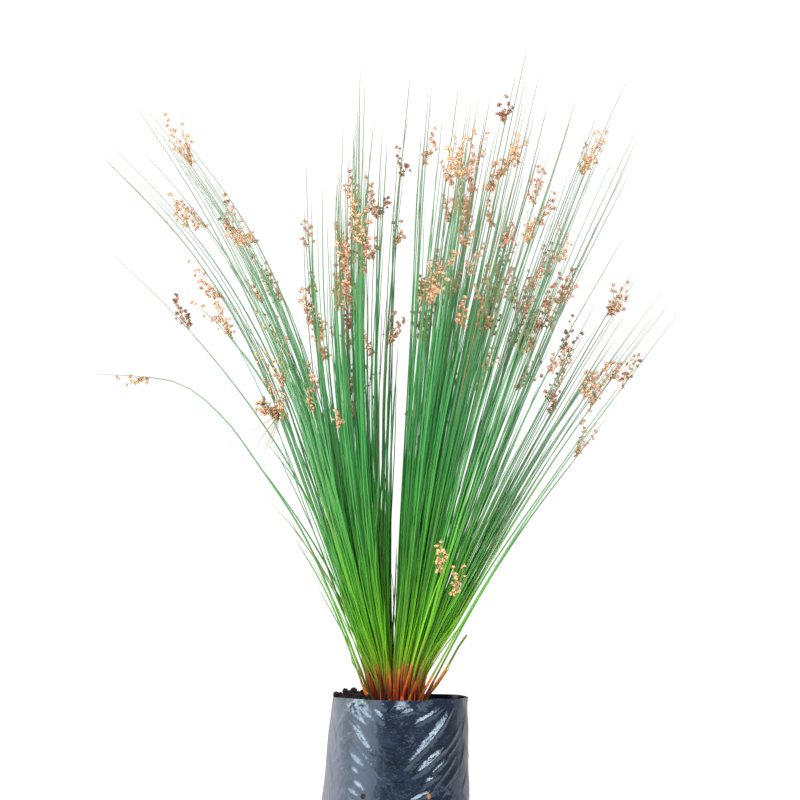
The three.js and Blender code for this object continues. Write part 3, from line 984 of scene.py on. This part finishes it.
def swell(angle, z, kind):
    """A smooth random swell over the bag, of about its kind's height."""
    local = np.random.default_rng(kind["seed"])
    total = np.zeros(np.broadcast(angle, z).shape)
    for _ in range(kind["waves"]):
        turns = local.integers(*SWELL_TURNS)
        climb = local.uniform(-SWELL_CLIMB, SWELL_CLIMB)
        total += np.sin(np.radians(angle) * turns + climb * z + local.uniform(0, TURN))
    return kind["height"] * total / math.sqrt(kind["waves"])


def up_to_rim(z, reach):
    """Nothing up to a reach below the rim, and from there evenly up to one."""
    return np.clip((z - BAG_TOP + reach) / reach, 0, 1)


def film_standout(angle, z):
    """How far the film stands out from its plain round form."""
    total = swell(angle, z, FILM_SWELL)
    for ends, height, width in FOLDS:
        total = np.maximum(total, FOLD["under"] * total + fold(angle, z, ends, height, width))
    for crease, depth in CREASES:
        off = apart(angle, crease) * DEGREE_ALONG
        total = total - depth * np.exp(-((off / CREASE_WIDTH) ** 2)) * np.clip(z / CREASE_FOOT, 0, 1)
    total = total + up_to_rim(z, RIM_FREE) * swell(angle, z, RIM_WAVE)
    near = np.exp(-((apart(angle, RIM_LEAN["angle"]) / RIM_LEAN["half_angle"]) ** RIM_LEAN["edge"]))
    leaning = up_to_rim(z, RIM_LEAN["reach"]) ** RIM_LEAN["curl"]
    total = total - RIM_LEAN["depth"] * near * leaning
    return total * np.clip(z / FOOT_ROUNDING, 0, 1)


def around_bag(angle, z, inset):
    """Points of the bag's form at some angles and a height, drawn in by an inset."""
    z = np.full_like(angle, z, dtype=float)
    radius, shift = section_at(z)
    reach = radius + film_standout(angle, z) - inset
    turn = np.radians(angle)
    return np.stack([shift + reach * np.sin(turn), -reach * np.cos(turn), z], axis=-1)


def closed_by_rings(rings):
    """A mesh skinned over rings of as many points, closed flat at both ends."""
    sides = len(rings[0])
    points = np.concatenate(rings)
    faces = ring_faces(len(rings), sides)
    faces.append(list(range(sides))[::-1])
    faces.append(list(range(len(points) - sides, len(points))))
    return skinned("shell", points, faces)


def hole_places():
    """The angle and the height of each drainage hole in the bag's solid."""
    to_ring = np.abs(BAG_POINTS[:, 2:] - SECTION[0]).min(axis=1)
    holes = []
    for x, y, z in BAG_POINTS[to_ring > HOLE_CLEARANCE]:
        angle = math.degrees(math.atan2(x - section_at(z)[1], -y))
        for hole in holes:
            first_angle, first_z = hole[0]
            off = apart(angle, first_angle)
            if abs(off) < HOLE_ANGLE and abs(z - first_z) < 3 * HOLE_RADIUS:
                hole.append((first_angle + off, z))
                break
        else:
            holes.append([(angle, z)])
    return [(np.min(hole, axis=0) + np.max(hole, axis=0)) / 2 for hole in holes]


def hole_punches():
    """Short rods through the drainage holes, each a little out of round."""
    shape = bmesh.new()
    for angle, z in hole_places():
        centre = around_bag(angle, z, 0)
        out = Vector((math.sin(math.radians(angle)), -math.cos(math.radians(angle)), 0))
        turn = out.to_track_quat("Z", "Y").to_matrix().to_4x4()
        made = bmesh.ops.create_cone(shape, cap_ends=True, radius1=HOLE_RADIUS, radius2=HOLE_RADIUS, **PUNCH)
        for vertex in made["verts"]:
            vertex.co.x *= rng.uniform(*SQUASH)
            vertex.co = turn @ vertex.co + Vector(centre)
    mesh = bpy.data.meshes.new("punches")
    shape.to_mesh(mesh)
    shape.free()
    return shown("punches", mesh)


def build_bag():
    angles = np.arange(BAG_AROUND) * 360 / BAG_AROUND
    levels = np.arange(0, BAG_TOP - BAG_RISE / 2, BAG_RISE)
    inner_levels = [BAG_TOP, *[z for z in levels[::-INNER_STRIDE] if z > 2 * FILM], FILM]
    outer = [around_bag(angles, z, 0) for z in [*levels, BAG_TOP]]
    inner = [around_bag(angles, z, FILM) for z in inner_levels]
    front_share = 0.5 + 0.5 * np.cos(np.radians(angles))
    lift = RIM_LIFT * front_share + swell(angles, BAG_TOP, RIM_RIPPLE)
    outer[-1][:, 2] += lift
    inner[0][:, 2] += lift
    mesh = closed_by_rings([*outer, *inner])
    mesh.set_sharp_from_angle(angle=SHARP_EDGE)
    bag = place("grow_bag_film", mesh, [film_look()])
    punches = hole_punches()
    cut = bag.modifiers.new("holes", "BOOLEAN")
    cut.operation = "DIFFERENCE"
    cut.object = punches
    cut.solver = "MANIFOLD"
    bpy.context.view_layer.update()
    cut_mesh = bpy.data.meshes.new_from_object(bag.evaluated_get(bpy.context.evaluated_depsgraph_get()))
    bag.modifiers.clear()
    bag.data = cut_mesh
    bpy.data.objects.remove(punches)
    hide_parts("grow_bag")


FILM_SHINE = (0.68, 0.85, 1.0, 1.0)


def film_look():
    """Blue-black and shiny, worn at its sides, with some algae at its left and painted sheen paling its left
    side.
    """
    look = Look("film_black", Specular_IOR_Level=0.8, IOR=1.5)
    look.shader.inputs["Specular Tint"].default_value = FILM_SHINE
    at = look.place()
    dust = look.noise(at, 55, 4, 0.6)
    film = look.ramp(dust, [(0.35, (1, 7, 20)), (0.6, (2, 13, 34)), (0.8, (14, 26, 48))])
    across = look.axis("X")
    # Painted sheen: the film pales towards its left, as if lit from that side
    painted_left_sheen = look.mix(look.spread(across, -8 * MM, -42 * MM, 0, 0.3), film, (84, 92, 108))
    # More painted sheen: a paler mauve-grey band along the far left edge
    painted_left_edge_sheen = look.mix(look.spread(across, -50 * MM, -62 * MM, 0, 0.3), painted_left_sheen, (104, 100, 110))
    near_rim = look.spread(look.axis("Z"), BAG_TOP - 5 * MM, BAG_TOP - 1 * MM)
    on_left = look.spread(across, -24 * MM, -36 * MM, 0, 0.8)
    patches = look.spread(look.noise(at, 160), 0.4, 0.6)
    algae = look.math("MULTIPLY", look.math("MULTIPLY", near_rim, on_left), patches)
    look.set("Base Color", look.mix(algae, painted_left_edge_sheen, (56, 80, 44)))
    worn_left = look.spread(across, -48 * MM, -62 * MM, 0, 0.16)
    worn_right = look.spread(across, 56 * MM, 68 * MM, 0, 0.16)
    worn = look.math("ADD", worn_left, worn_right)
    look.set("Roughness", look.math("ADD", worn, look.spread(dust, 0.3, 0.75, 0.1, 0.26)))
    crinkle = look.noise(look.stretched(at, (1, 1, 0.6)), 130, 4, 0.6)
    look.bump(crinkle, 0.6, 1.8 * MM)
    return look.material


# The soil: a bumpy top with crumbs, and clods heaped at its left

SOIL_CLEARANCE = 0.7 * MM
SOIL_AROUND = BAG_AROUND // 2
SOIL_LEVELS = 26
SOIL_RINGS = 30
INNERMOST_RING = 0.03
SOIL_FOOT = 8 * MM
SOIL_EDGE = 2 * MM
SOIL_SUNK = 1.2 * MM

# The scale and the height of the top's bumps, which are lowest at the wall
SOIL_BUMPS = [(0.16, 1.6 * MM), (0.5, 0.7 * MM)]
WALL_BUMPS = {"least": 0.3, "growth": 8}
OCTAVES = 4

# A bit of clay that shows at a drainage hole in the front
CLAY = {"point": (36 * MM, -70 * MM, 97 * MM), "middle": 5.4 * MM, "reach": 9 * MM}

# Lumps stray from the tops of the solid's clods, and crumbs lie on all but the middle of the soil
LUMPS = {"count": 200, "sizes": (1.3 * MM, 4.2 * MM), "detail": 3, "margin": 4.5 * MM}
LUMP_STRAY = np.array([9, 6, 2]) * MM
LUMP_SPILL = np.array([4, 0, -2]) * MM
CLOD_RISE = 2 * MM
CRUMBS = {"count": 420, "sizes": (0.7 * MM, 2.2 * MM), "detail": 1, "margin": 4 * MM}
CRUMB_AREA = (0.12, 1)
CRUMB_SUNK = 0.2 * MM
SWELLING = {"scale": 1.3, "height": 0.35}
GRIT = {"scale": 4, "height": 0.16}
LUMP_STRETCH = (0.75, 1.1)
NOISE_REACH = 50


def soil_look(name, dark, pale):
    look = Look(name, Specular_IOR_Level=0.15)
    at = look.place()
    crumbs = look.noise(at, 260, 6, 0.7)
    specks = look.noise(at, 700, 2)
    earth = look.ramp(crumbs, [(0.3, dark), (0.7, pale)])
    speckled = look.mix(look.spread(specks, 0.66, 0.7, 0, 0.6), earth, (150, 140, 120))
    from_clay = {0: look.place(), 1: CLAY["point"]}
    gap = look.node("ShaderNodeVectorMath", from_clay, "Value", operation="DISTANCE")
    clay = look.spread(gap, CLAY["middle"], CLAY["reach"], 1, 0)
    look.set("Base Color", look.mix(clay, speckled, (168, 108, 70)))
    look.set("Roughness", look.spread(crumbs, 0.3, 0.7, 0.75, 0.95))
    look.bump(crumbs, 0.9, 2 * MM)
    return look.material


def rough(points, scale, height):
    """Random heights of rough ground at some points."""
    return np.array([height * noise.turbulence(Vector(point) * scale, OCTAVES, False) for point in points])


def build_soil():
    angles = np.arange(SOIL_AROUND) * 360 / SOIL_AROUND
    inset = FILM + SOIL_CLEARANCE
    levels = [2 * FILM, *np.linspace(SOIL_FOOT, SOIL_TOP - SOIL_EDGE, SOIL_LEVELS)]
    rings = [around_bag(angles, z, inset) for z in levels]
    rim = around_bag(angles, SOIL_TOP, inset)
    middle = rim.mean(axis=0)
    for share in np.linspace(1, INNERMOST_RING, SOIL_RINGS):
        ring = middle + (rim - middle) * share
        bumps = sum(rough(ring / MM, scale, height) for scale, height in SOIL_BUMPS)
        fullness = min(1, WALL_BUMPS["growth"] * (1 - share) + WALL_BUMPS["least"])
        ring[:, 2] = SOIL_TOP - SOIL_SUNK + bumps * fullness
        rings.append(ring)
    mesh = closed_by_rings(rings)
    soil = place("potting_soil", mesh, [soil_look("soil_dark", (20, 15, 14), (58, 46, 40))])
    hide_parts("soil")


def noise_at(points, scale, seed):
    return np.array([noise.noise(Vector(point * scale + seed)) for point in points])


def add_lump(skins, centre, kind):
    radius = rng.uniform(*kind["sizes"])
    tone = rng.random()
    shape = bmesh.new()
    bmesh.ops.create_icosphere(shape, subdivisions=kind["detail"], radius=1.0)
    points = np.array([vertex.co for vertex in shape.verts])
    faces = [[vertex.index for vertex in face.verts] for face in shape.faces]
    shape.free()
    seed = rng.uniform(-NOISE_REACH, NOISE_REACH, 3)
    relief = 1 + sum(each["height"] * noise_at(points, each["scale"], seed) for each in (SWELLING, GRIT))
    points = points * relief[:, None] * rng.uniform(*LUMP_STRETCH, 3) * radius + centre
    skins.add(points, faces, 0, tone, np.zeros(len(points)), points)


def build_clods():
    """The heap at the left, and crumbs on the soil."""
    radius, shift = section_at(SOIL_TOP)
    points, _ = shape_of(NODES["soil_clods"])
    tops = points[points[:, 2] > SOIL_TOP + CLOD_RISE]
    room = radius - LUMPS["margin"]
    skins = Skins()
    for _ in range(LUMPS["count"]):
        top = tops[rng.integers(len(tops))]
        centre = top + rng.uniform(-1, 1, 3) * LUMP_STRAY + LUMP_SPILL
        off = centre[:2] - [shift, 0]
        centre[:2] -= off * max(0, 1 - room / norm(off))
        add_lump(skins, centre, LUMPS)
    for _ in range(CRUMBS["count"]):
        angle = rng.uniform(0, TURN)
        reach = (radius - CRUMBS["margin"]) * math.sqrt(rng.uniform(*CRUMB_AREA))
        centre = np.array([shift + reach * math.cos(angle), reach * math.sin(angle), SOIL_TOP - CRUMB_SUNK])
        add_lump(skins, centre, CRUMBS)
    heap = skins.piece("soil_heap", [soil_look("soil_crumbs", (8, 6, 6), (36, 28, 25))], "soil")
    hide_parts("soil_clods")


# The studio: a room, a pale floor, softboxes, and a camera where the photo's was

FLOOR_RADIUS = 1.6
FLOOR_SIDES = 96
FLOOR_TINT = (0.85, 0.85, 0.85, 1)
BACKDROP = 1.1

# The room's brightness rises between two directions along Y
ROOM = {"low": 0.2, "high": 0.8, "to_low": 0.38, "to_high": 0.9}

# Each softbox's name, place, width and height, and the brightness of its face in watts per sr m2
SOFTBOXES = [
    ("over_camera", (0.1, -1.7, 1.0), (2.0, 0.35), 15),
    ("high_left", (-1.2, -1.2, 1.0), (0.9, 0.4), 14),
    ("high_right", (1.2, -1.2, 1.0), (0.9, 0.4), 14),
    ("low_left", (-1.2, -0.8, 0.33), (1.7, 0.6), 1.8),
    ("beside_left", (-1.55, -0.3, 0.82), (1.5, 0.35), 8),
    ("left_behind", (-1.5, 0.9, 0.3), (1.4, 0.6), 1.1),
    ("back", (0.6, 2.6, 2.0), (1.0, 1.4), 5),
]
LAMP_AIM = Vector((0, 0, 250)) * MM

# The photo's pixels, and how much of the middle of the plant one shows
IMAGE_PIXELS = 800
PIXEL = 1.095 * MM
VIEW_DISTANCE = 3000 * MM
VIEW_AIM = Vector((4.4, 0, 525)) * MM
VIEW_FROM = Vector((4.4, -3000, 385)) * MM
SENSOR = 36


def build_world():
    """A room that is brighter behind the plant, and plain white to the camera."""
    world = bpy.data.worlds.new("studio")
    bpy.context.scene.world = world
    wiring = Wiring(world, "Background")
    direction = wiring.node("ShaderNodeTexCoord", {}, "Generated")
    backwards = wiring.node("ShaderNodeSeparateXYZ", {0: direction}, "Y")
    room = wiring.spread(backwards, **ROOM)
    seen = wiring.node("ShaderNodeLightPath", {}, "Is Camera Ray")
    wiring.shader.inputs["Color"].default_value = WHITE
    wiring.set("Strength", wiring.node("ShaderNodeMix", {0: seen, 2: room, 3: BACKDROP}))


def build_floor():
    mesh = bpy.data.meshes.new("floor")
    shape = bmesh.new()
    bmesh.ops.create_circle(shape, cap_ends=True, segments=FLOOR_SIDES, radius=FLOOR_RADIUS)
    shape.to_mesh(mesh)
    shape.free()
    floor = shown("floor", mesh)
    pale = Look("floor_pale", Roughness=0.9, Specular_IOR_Level=0, Emission_Strength=0.3)
    pale.shader.inputs["Base Color"].default_value = FLOOR_TINT
    pale.shader.inputs["Emission Color"].default_value = WHITE
    mesh.materials.append(pale.material)


def build_softbox(name, stands_at, size, brightness):
    lamp = bpy.data.lights.new(name, "AREA")
    lamp.shape = "RECTANGLE"
    lamp.size, lamp.size_y = size
    lamp.energy = brightness * math.pi * lamp.size * lamp.size_y
    light = shown(name, lamp)
    light.location = stands_at
    light.rotation_euler = (LAMP_AIM - light.location).to_track_quat("-Z", "Y").to_euler()


def build_camera():
    lens = bpy.data.cameras.new("view")
    lens.sensor_width = SENSOR
    lens.lens = SENSOR * VIEW_DISTANCE / (IMAGE_PIXELS * PIXEL)
    camera = shown("view", lens)
    camera.location = VIEW_FROM
    camera.rotation_euler = (VIEW_AIM - VIEW_FROM).to_track_quat("-Z", "Y").to_euler()
    bpy.context.scene.camera = camera
    bpy.context.scene.view_settings.view_transform = "Standard"


build_world()
build_floor()
for softbox in SOFTBOXES:
    build_softbox(*softbox)
build_camera()
build_bag()
build_soil()
build_clods()
build_tussock()
